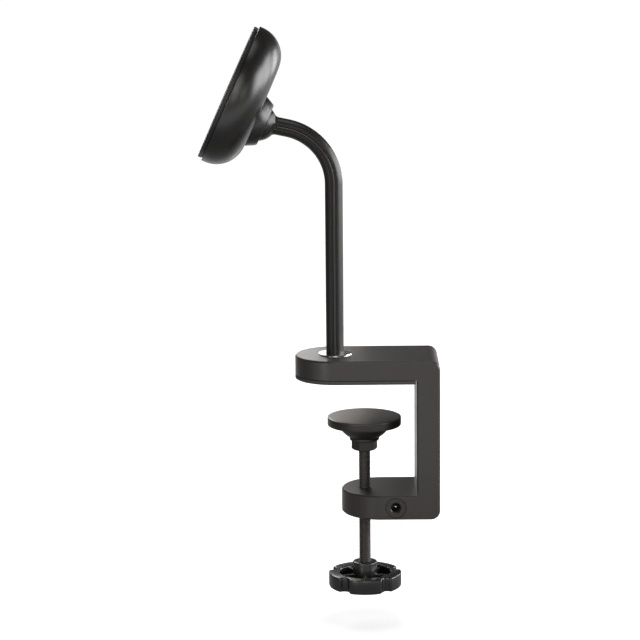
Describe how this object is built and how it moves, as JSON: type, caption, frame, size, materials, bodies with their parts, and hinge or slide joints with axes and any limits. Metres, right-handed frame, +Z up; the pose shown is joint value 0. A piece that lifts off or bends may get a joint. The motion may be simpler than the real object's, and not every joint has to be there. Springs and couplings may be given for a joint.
{
  "type": "wireless charging phone mount",
  "caption": "Round magnetic phone charger on a ball joint and bent arm, carried by a screw clamp for a desk edge, with a power socket in the lower jaw.",
  "frame": {"origin": "underside of the soft jaw pad, where it rests on the desk top, on the arm's axis", "axes": "+Z up along the arm's upright, +X from the arm to the spine of the clamp, -Y towards the side with the power socket"},
  "size_m": [0.0994, 0.06, 0.2378],
  "materials": {
    "frame_metal": "dark warm grey satin coating on die-cast metal",
    "lower_metal": "dark warm grey satin coating on die-cast metal",
    "arm_metal": "dark grey satin coating",
    "nut_metal": "dark grey satin coating",
    "pad_rubber": "smooth dense rubber",
    "cushion_rubber": "smooth satin rubber",
    "dark_steel": "black oxide",
    "bright_steel": "polished",
    "steel": "plain",
    "screw_steel": "dark rolled thread",
    "brass": "plain",
    "contact_metal": "nickel plated",
    "socket_plastic": "satin black",
    "lead_black": "smooth black jacket",
    "lead_red": "thin insulated wire",
    "liner_plastic": "smooth natural acetal",
    "shell_gloss": "near-black, polished",
    "disc_satin": "near-black satin, soft touch",
    "magnet_metal": "nickel plated",
    "copper_coil": "enamelled wire winding",
    "ferrite": "dark grey ferrite",
    "carrier_plastic": "dark moulded plastic",
    "board_green": "green board with dark components",
    "knob_plastic": "black, semi-gloss moulded",
    "plate_plastic": "dark satin moulded"
  },
  "bodies": {
    "frame": {"upper_frame": "frame_metal", "lower_jaw": "lower_metal", "jaw_pad": "pad_rubber", "frame_screws": "dark_steel", "foot_collar": "bright_steel", "thread_bush": "brass", "power_jack": "socket_plastic", "jack_pin": "contact_metal", "jack_contact": "contact_metal", "frame_lead": "lead_black"},
    "arm": {"arm": "arm_metal", "arm_cable": "lead_black", "arm_washer": "steel", "arm_nut": "steel"},
    "ball_cup": {"ball_seat": "liner_plastic"},
    "ball_ring": {"seat_ring": "liner_plastic"},
    "head": {"head_shell": "shell_gloss", "front_disc": "disc_satin", "magnet_ring": "magnet_metal", "charging_coil": "copper_coil", "ferrite_plate": "ferrite", "coil_carrier": "carrier_plastic", "carrier_screws": "steel", "circuit_board": "board_green", "head_lead": "lead_red"},
    "lock_nut": {"lock_nut": "nut_metal"},
    "swivel": {"swivel_cup": "liner_plastic"},
    "screw": {"screw_rod": "screw_steel", "knob": "knob_plastic", "knob_insert": "brass"},
    "plate": {"pressure_plate": "plate_plastic", "plate_cushion": "cushion_rubber", "retaining_nut": "plate_plastic"}
  },
  "joints": [
    {"name": "arm_swivel", "type": "hinge", "parent": "frame", "child": "arm", "pos_m": [0, 0, 0.0099], "axis": [0, 0, 1], "range_deg": [-160, 160]},
    {"name": "head_tilt", "type": "hinge", "parent": "arm", "child": "ball_cup", "pos_m": [-0.03094, 0, 0.10761], "axis": [0, 1, 0], "range_deg": [-35, 10]},
    {"name": "head_pan", "type": "hinge", "parent": "ball_cup", "child": "ball_ring", "pos_m": [-0.03094, 0, 0.10761], "axis": [0.4147, 0, 0.91], "range_deg": [-14, 14]},
    {"name": "head_spin", "type": "hinge", "parent": "ball_ring", "child": "head", "pos_m": [-0.03094, 0, 0.10761], "axis": [-0.91, 0, 0.4147], "range_deg": [-90, 90]},
    {"name": "lock_nut_turn", "type": "hinge", "parent": "head", "child": "lock_nut", "pos_m": [-0.03094, 0, 0.10761], "axis": [0.91, 0, -0.4147], "range_deg": [0, 90]},
    {"name": "clamp_travel", "type": "slide", "parent": "frame", "child": "swivel", "axis": [0, 0, 1], "range_m": [-0.0144, 0.0144]},
    {"name": "screw_turn", "type": "hinge", "parent": "swivel", "child": "screw", "pos_m": [0.0121, 0, -0.0231], "axis": [0, 0, 1], "range_deg": [-6480, 6480]},
    {"name": "plate_tilt", "type": "hinge", "parent": "swivel", "child": "plate", "pos_m": [0.0121, 0, -0.0231], "axis": [0, 1, 0], "range_deg": [-5, 5]}
  ],
  "couplings": [
    {"joint": "screw_turn", "follows": "clamp_travel", "rad_per_m": 7854}
  ]
}
